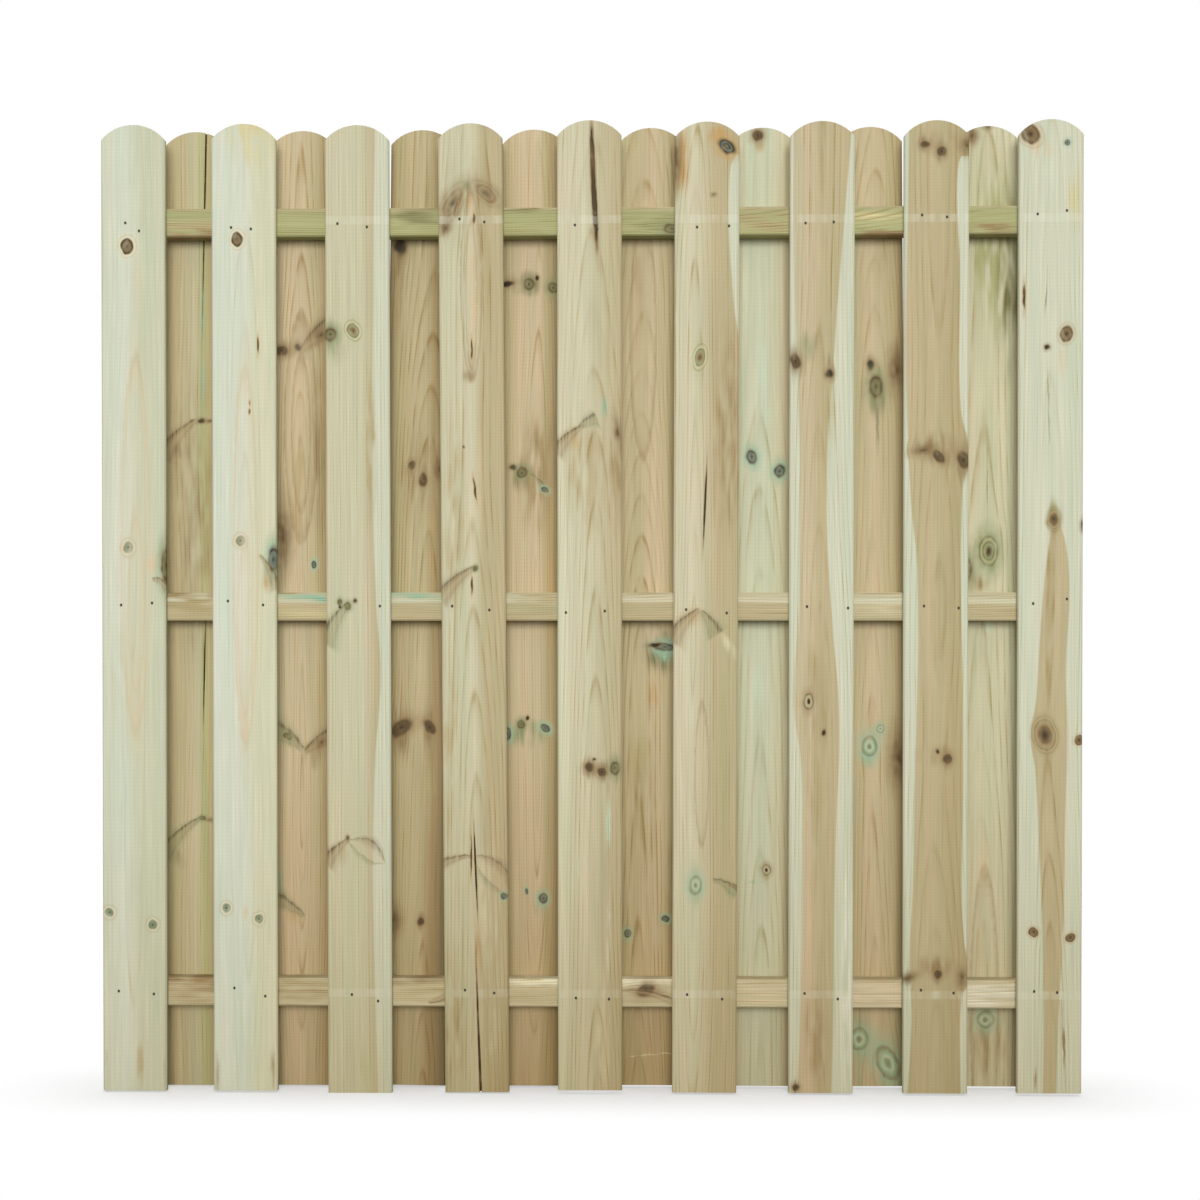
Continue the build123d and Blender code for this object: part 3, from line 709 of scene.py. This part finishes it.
class Bench:
    """Node tree of a finish, with one way to add any node to it."""

    def __init__(self, tree):
        self.tree = tree

    def node(self, kind, settings=None, sockets=None, output=0):
        """Adds a node: its settings come first, then the values or links of its sockets."""
        made = self.tree.nodes.new("ShaderNode" + kind)
        for name, value in (settings or {}).items():
            if name == "stops":
                self.set_stops(made.color_ramp, value)
            elif name == "points":
                self.set_points(made.mapping, value)
            else:
                setattr(made, name, value)
        for name, value in (sockets or {}).items():
            self.join(made.inputs[name], value)
        return Wire(self, made.outputs[output])

    def join(self, socket, value):
        """Links a socket to a wire, or sets its value."""
        if isinstance(value, Wire):
            self.tree.links.new(value.socket, socket)
        else:
            socket.default_value = value

    def set_stops(self, ramp, stops):
        while len(ramp.elements) < len(stops):
            ramp.elements.new(1)
        for element, (place, colour) in zip(ramp.elements, stops):
            element.position = place
            element.color = colour

    def set_points(self, mapping, points):
        curve = mapping.curves[0]
        while len(curve.points) < len(points):
            curve.points.new(0.5, 0.5)
        for point, place in zip(curve.points, points):
            point.location = place
        mapping.update()

    def sibling(self, wire, output):
        """Another output of the node that a wire comes from."""
        return Wire(self, wire.socket.node.outputs[output])

    def math(self, operation, first, second=0.0):
        return self.node("Math", {"operation": operation}, {0: first, 1: second})

    def least(self, values):
        """Smallest of several values."""
        return reduce(lambda first, second: self.math("MINIMUM", first, second), values)

    def split(self, vector):
        """Three numbers of a vector."""
        first = self.node("SeparateXYZ", None, {0: vector})
        return first, self.sibling(first, 1), self.sibling(first, 2)

    def pair(self, first, second):
        """Flat vector of two numbers."""
        return self.node("CombineXYZ", None, {0: first, 1: second, 2: 0.0})

    def reach(self, vector):
        """Length of a vector."""
        return self.node("VectorMath", {"operation": "LENGTH"}, {0: vector}, 1)

    def scale(self, vector, factor):
        return self.node("VectorMath", {"operation": "SCALE"}, {0: vector, 3: factor})

    def swell(self, first, factor, last):
        """Vector worked out as first times factor plus last."""
        return self.node("VectorMath", {"operation": "MULTIPLY_ADD"}, {0: first, 1: factor, 2: last})

    def mix(self, amount, first, second, blend="MIX"):
        """Second colour laid over the first."""
        return self.node(
            "Mix", {"data_type": "RGBA", "blend_type": blend}, {0: amount, 6: first, 7: second}, 2
        )

    def step(self, value, start, end, low=0.0, high=1.0):
        """Soft step from low before the start to high after the end."""
        return self.node(
            "MapRange", {"interpolation_type": "SMOOTHSTEP"}, {0: value, 1: start, 2: end, 3: low, 4: high}
        )

    def noise(self, place, lumps, seed):
        """Noise about 0, different for every seed."""
        shift = tuple((seed + lumps.start) * step for step in SEED_SHIFT)
        spread = self.swell(place, (1 / lumps.wide, 1 / lumps.long, 0), shift)
        return self.node(
            "TexNoise", {"noise_dimensions": "2D", "normalize": False},
            {"Vector": spread, "Scale": 1.0, "Detail": lumps.detail, "Roughness": 0.55},
        )

    def past(self, place, mark, x, y):
        """How far a place lies past the middle or start of a mark, measured along a vector."""
        product = self.node("VectorMath", {"operation": "DOT_PRODUCT"}, {0: place, 1: (x, y, 0)}, 1)
        return product - (mark.across * x + mark.up * y)

    def near(self, place, mark, grow=(1, 1)):
        """Place seen from the middle of a mark, in radii that may be grown."""
        wide, high = mark.wide * grow[0] / 2, mark.high * grow[1] / 2
        if not mark.tilt:
            return self.swell(place, (1 / wide, 1 / high, 0), (-mark.across / wide, -mark.up / high, 0))
        c, s = cos(radians(mark.tilt)), sin(radians(mark.tilt))
        return self.pair(
            self.past(place, mark, c / wide, s / wide), self.past(place, mark, -s / high, c / high)
        )


def new_finish(name):
    """Material with its bench and its shader."""
    material = bpy.data.materials.new(name)
    material.use_nodes = True
    return material, Bench(material.node_tree), material.node_tree.nodes["Principled BSDF"]


def part_round_knots(bench, flow, place, knots):
    """Moves the grain aside where it flows round a knot, and gives how far each knot's pull reaches."""
    pulls = {}
    for knot in knots:
        if isinstance(knot, Spike) or not LOOKS[knot.look].parts or min(knot.wide, knot.high) < PULL_FROM:
            continue
        near = bench.near(place, knot._replace(tilt=0), PULL_REACH)
        pulls[knot] = bench.step(bench.reach(near), 0.0, 1.0, 1.0, 0.0)
        flow = bench.swell(bench.scale(near, pulls[knot]), (-PULL_SHIFT * knot.wide, 0, 0), flow)
    return flow, pulls


def round_knot(bench, place, knot):
    """Colour and cover of a knot sawn across, or of another round or oval mark."""
    far = bench.reach(bench.near(place, knot, (REACH, REACH)))
    stops = [(at / REACH, linear(tone, cover)) for at, tone, cover in LOOKS[knot.look].rings]
    shade = bench.node("ValToRGB", {"stops": stops}, {0: far})
    return shade, bench.sibling(shade, 1)


def spike_knot(bench, place, spike):
    """Colour and cover of a knot sawn along its length, which arches and widens towards its outer end."""
    run, rise = spike.end_across - spike.across, spike.end_up - spike.up
    length = hypot(run, rise)
    half = spike.thick / 2 if run > 0 else -spike.thick / 2
    share = bench.past(place, spike, run / length ** 2, rise / length ** 2)
    lift = bench.past(place, spike, -rise / length / half, run / length / half)
    lift -= share * (1 - share) * (SPIKE_ARCH * length / spike.thick)
    # A wing is widest halfway along, and a branch at its outer end
    widening = share * (1.04 - share) * 3.7 if spike.look == "wing" else share * 0.8 + 0.2
    lift /= bench.math("MAXIMUM", widening, SPIKE_THIN)
    stops = [(at / REACH / 2 + 0.5, linear(tone, cover)) for at, tone, cover in SPIKE_LOOKS[spike.look]]
    shade = bench.node("ValToRGB", {"stops": stops}, {0: lift * (0.5 / REACH) + 0.5})
    ends = bench.step(share, *SPIKE_INNER_END) * bench.step(share, *SPIKE_OUTER_END, 1.0, 0.0)
    return shade, bench.sibling(shade, 1) * ends


def growth_rings(bench, across, depth, bow, grain, seed):
    """Darker late wood of each year's ring round a pith that lies behind the face."""
    years = bench.reach(bench.pair(across - grain.pith, bow - depth)) / grain.spacing
    stops = [(share, (dark, dark, dark, 1)) for share, dark in YEAR]
    late = bench.node("ValToRGB", {"stops": stops}, {0: bench.math("FRACT", years)})
    year = bench.math("FLOOR", years) + seed * SEED_YEARS
    vigour = bench.node("TexWhiteNoise", {"noise_dimensions": "1D"}, {"W": year})
    return late * (vigour * 1.1 + 0.3) * grain.figure


def heart_mask(bench, heart, across, along, width, length):
    """1 inside the heartwood and 0 in the sapwood at the board's edges."""
    share = along / length
    inside = []
    for points, sign in ((heart.left, 1), (heart.right, -1)):
        shares = [(up / length, at / width / 2 + 0.5) for up, at in points]
        curve = bench.node("FloatCurve", {"points": shares}, {0: 1.0, 1: share})
        edge = (curve - 0.5) * (width * 2)
        inside.append(bench.step((across - edge) * sign, -HEART_BLUR, HEART_BLUR))
    return inside[0] * inside[1]


def wood(name, timber, centre, turn, width, length, seed, nails=()):
    """Treated pine with the streaks, growth rings, knots and stains of one piece of timber."""
    material, bench, shader = new_finish(name)
    raw = bench.node("TexCoord", output="Object")
    place = bench.node(
        "Mapping", {"vector_type": "TEXTURE"}, {0: raw, 1: centre, 2: turn, 3: (MM, MM, MM)}
    )
    _, along, depth = bench.split(place)

    # Slow sway of the grain, ragged edges of marks, patchiness, fine fibres and broad bands
    sway = bench.noise(place, SWAY, seed)
    ragged = bench.noise(place, RAGGED, seed)
    patchy = bench.noise(place, PATCHY, seed)
    fibre = bench.noise(place, FIBRE, seed)
    bands = bench.noise(place, BANDS, seed)

    # Uneven cover of the stain along the grain, of patches, of lengthwise knots and of round knots
    streaky = fibre * 1.34 + patchy + 0.9
    blotchy = patchy * 1.4 + 1
    feathered = fibre * 0.67 + 1
    worn = ragged * 0.45 + 1.06

    # Places that the marks and the grain go by
    torn = bench.swell(ragged, RAGGED_EDGE, place)
    swayed = bench.swell(sway, (SWAY_ACROSS, 0, 0), place)
    flow, pulls = part_round_knots(bench, swayed, place, timber.knots)
    across = bench.split(flow)[0]
    grain = timber.grain
    bow = along * grain.slope + sway * SWAY_DEPTH + grain.depth

    # Colour across the timber and its stains
    streaks = [((at + width / 2) / width, linear(tone)) for at, tone in timber.streaks]
    colour = bench.node("ValToRGB", {"stops": streaks}, {0: across / width + 0.5})
    if timber.heart:
        inside = heart_mask(bench, timber.heart, across, along, width, length)
        colour = bench.mix(inside, linear(timber.heart.sap), colour)
    colour = bench.mix(1.0, colour, bench.swell(bands, BAND_TINT, (1, 1, 1)), "MULTIPLY")
    for patch in timber.patches:
        far = bench.reach(bench.near(torn, patch))
        cover = bench.step(far, PATCH_CORE, 1.0, patch.cover, 0.0)
        colour = bench.mix(cover * blotchy, colour, linear(patch.tone))

    # Growth rings, saw marks and fibres over them
    rings = growth_rings(bench, across, depth, bow, grain, seed)
    colour = bench.mix(rings * (patchy * 1.2 + 0.9), colour, LATE_WOOD, "MULTIPLY")
    pitch = PLAIN_SAW_PITCH if timber.sawn > PLAINLY_SAWN else SAW_PITCH
    saw = bench.math("SINE", along * (2 * pi / pitch)) * (patchy * 0.8 + 0.6)
    grained = fibre * (0.045 + 0.09 * grain.figure) + patchy * 0.04
    colour = bench.scale(colour, grained + saw * (SAW_SHADE * timber.sawn) + 1)

    # Knots, with the stain that they draw out along the grain under them
    for knot, pull in pulls.items():
        look = LOOKS[knot.look]
        if look.cover:
            colour = bench.mix(pull * pull * streaky * look.cover, colour, linear(look.flare))
    for knot in timber.knots:
        if isinstance(knot, Spike):
            shade, cover = spike_knot(bench, torn, knot)
            cover *= feathered
        else:
            shade, cover = round_knot(bench, place if knot.look == "crack" else torn, knot)
            cover *= worn
        colour = bench.mix(cover, colour, shade)

    # Pale bands, painted shade that darkens and warms the foot, and the stain round each nail
    if timber.stickers:
        nearest = bench.least([abs(along - level) for level in STICKER_LEVELS])
        band = bench.step(nearest, *STICKER_EDGE, STICKER_COVER, 0.0)
        colour = bench.mix(band * (patchy + 1), colour, linear("chalk"))
    if timber.foot:
        # Painted shade: the lower part of each board darker and warmer, as less light reaches it
        foot_shade = bench.step(along, *FOOT_SHADE_LEVELS, FOOT_SHADE_STRENGTH * timber.foot, 0.0)
        colour = bench.mix(foot_shade, colour, FOOT_SHADE_TINT, "MULTIPLY")
    if nails:
        stains = [Knot(*nail, NAIL_STAIN, NAIL_STAIN, "dark") for nail in nails]
        nearest = bench.least([bench.reach(bench.near(place, stain)) for stain in stains])
        stain = bench.step(nearest, *NAIL_STAIN_EDGE, NAIL_STAIN_COVER, 0.0)
        colour = bench.mix(stain, colour, linear("soot"))

    bench.join(shader.inputs["Base Color"], colour)
    bench.join(shader.inputs["Roughness"], WOOD_ROUGHNESS - fibre * 0.11)
    shader.inputs["Specular IOR Level"].default_value = WOOD_SPECULAR
    return material


def steel():
    """Dull steel of the gun nails, darkened by the treated wood."""
    material, bench, shader = new_finish("nail_steel")
    raw = bench.node("TexCoord", output="Object")
    spots = bench.node(
        "TexNoise", {"noise_dimensions": "3D", "normalize": False},
        {"Vector": raw, "Scale": STEEL_SPOTS, "Detail": 2.0},
    )
    bench.join(shader.inputs["Base Color"], bench.mix(spots * 0.5 + 0.5, STEEL_DARK, STEEL_PALE))
    bench.join(shader.inputs["Roughness"], STEEL_ROUGHNESS + spots * 0.1)
    shader.inputs["Metallic"].default_value = STEEL_METALLIC
    return material


def dress(node, material):
    """Gives a carried-over piece its finish."""
    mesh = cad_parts[node].data
    mesh.materials.clear()
    mesh.materials.append(material)


def nail_heads(row):
    """Middles of the nail heads in a row of boards."""
    heads = []
    for rail in RAIL_NAMES:
        node = f"{row}_nails_{rail}"
        low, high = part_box(node)
        face = low.y if row == "front" else high.y
        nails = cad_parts[node]
        corners = [nails.matrix_world @ vertex.co for vertex in nails.data.vertices]
        corners = [corner for corner in corners if abs(corner.y - face) < FACE_SLACK]
        corners.sort(key=lambda corner: corner.x)
        head = []
        for corner, following in zip(corners, corners[1:] + [None]):
            head.append(corner)
            if following is None or following.x - corner.x > NAIL_DISTANCE:
                heads.append(sum(head, Vector()) / len(head))
                head = []
    return heads


for row, timbers in (("front", FRONT), ("rear", REAR)):
    heads = nail_heads(row)
    for i, timber in enumerate(timbers):
        node = f"{row}_board_{i + 1}"
        low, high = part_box(node)
        lean = radians(LEANS.get(node, 0))
        foot = ((low.x + high.x) / 2 + tan(lean) * (low.z + high.z) / 2, low.y, 0)
        turn = (pi / 2, -lean, 0)
        nails = [
            (
                ((head.x - foot[0]) * cos(lean) + head.z * sin(lean)) / MM,
                (head.z * cos(lean) - (head.x - foot[0]) * sin(lean)) / MM,
            )
            for head in heads if low.x < head.x < high.x
        ]
        dress(node, wood(node, timber, foot, turn, BOARD_WIDTH, BOARD_LENGTH, FIRST_SEEDS[row] + i, nails))

for i, (node, timber) in enumerate(RAILS.items()):
    low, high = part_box(node)
    centre = (0, low.y, (low.z + high.z) / 2)
    turn = (pi / 2, pi / 2, 0)
    dress(node, wood(node, timber, centre, turn, RAIL_HEIGHT, PANEL_WIDTH, FIRST_SEEDS["rails"] + i))

nail_steel = steel()
for row in ("front", "rear"):
    for rail in RAIL_NAMES:
        dress(f"{row}_nails_{rail}", nail_steel)


# Studio: a pale floor that keeps the shadow at the foot, a white surround, one broad lamp, and a soft sky
# that is brighter behind the panel, where the lamp doesn't reach. Angles are in degrees
FLOOR_SIZE = 60
FLOOR_SEEN = (0.95, 0.95, 0.95, 1)
FLOOR_UNSEEN = (0.15, 0.15, 0.15, 1)
FLOOR_ROUGHNESS = 0.9
SHADOW_REACH = 0.26
SHADOW_FADE = 0.4
WHITE = (1, 1, 1, 1)
SKY_IN_FRONT = 0.5
SKY_BEHIND = 1.3
SKY_BLEND = 0.6
LAMP_STRENGTH = 2.32
LAMP_SPREAD = 26
LAMP_TURN = (77, 0, 1.5)


def floor_finish():
    """Pale floor that fades into the white surround away from the panel."""
    material, bench, shader = new_finish("studio_floor")
    seen = bench.node("LightPath", output="Is Camera Ray")
    across, away, _ = bench.split(bench.node("TexCoord", output="Object"))
    beyond = bench.math("MAXIMUM", abs(across) - cad_high[0], 0.0)
    distance = bench.reach(bench.pair(beyond, away))
    bench.join(shader.inputs["Base Color"], bench.mix(seen, FLOOR_UNSEEN, FLOOR_SEEN))
    shader.inputs["Roughness"].default_value = FLOOR_ROUGHNESS
    white = bench.node("Emission", None, {"Color": WHITE, "Strength": 1.0})
    plain = Wire(bench, shader.outputs[0])
    faded = seen * bench.step(distance, 0.0, SHADOW_REACH, SHADOW_FADE)
    surface = bench.node("MixShader", None, {0: faded, 1: plain, 2: white})
    bench.join(material.node_tree.nodes["Material Output"].inputs["Surface"], surface)
    return material


bpy.ops.mesh.primitive_plane_add(size=FLOOR_SIZE)
floor = bpy.context.object
floor.name = "studio_floor"
floor.data.materials.append(floor_finish())
floor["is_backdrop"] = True

scene = bpy.context.scene
world = bpy.data.worlds.new("studio")
world.use_nodes = True
world.cycles.sampling_method = "NONE"
scene.world = world
bench = Bench(world.node_tree)
direct = bench.node("LightPath", output="Is Camera Ray")
for kind in ("Is Glossy Ray", "Is Transmission Ray"):
    direct = bench.math("MAXIMUM", direct, bench.node("LightPath", output=kind))
away = bench.split(bench.node("TexCoord", output="Generated"))[1]
soft = bench.step(away, 0.0, SKY_BLEND, SKY_IN_FRONT, SKY_BEHIND)
sky = world.node_tree.nodes["Background"]
sky.inputs["Color"].default_value = WHITE
bench.join(sky.inputs["Strength"], direct * (1 - soft) + soft)

lamp = bpy.data.lights.new("key", "SUN")
lamp.energy = LAMP_STRENGTH
lamp.angle = radians(LAMP_SPREAD)
key = bpy.data.objects.new("key", lamp)
key.rotation_euler = [radians(angle) for angle in LAMP_TURN]
scene.collection.objects.link(key)

# Camera where the photograph was taken from
EYE = (0.0677, -4.1508, 0.870)
YAW = 1.291
PITCH = -0.70
LENS = 67.25
SHIFT = (0.0197, 0.0405)
camera = bpy.data.cameras.new("camera")
camera.lens = LENS
camera.shift_x, camera.shift_y = SHIFT
eye = bpy.data.objects.new("camera", camera)
eye.location = EYE
eye.rotation_euler = (radians(90 + PITCH), 0, radians(YAW))
scene.collection.objects.link(eye)
scene.camera = eye
scene.view_settings.view_transform = "Standard"

low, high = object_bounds()
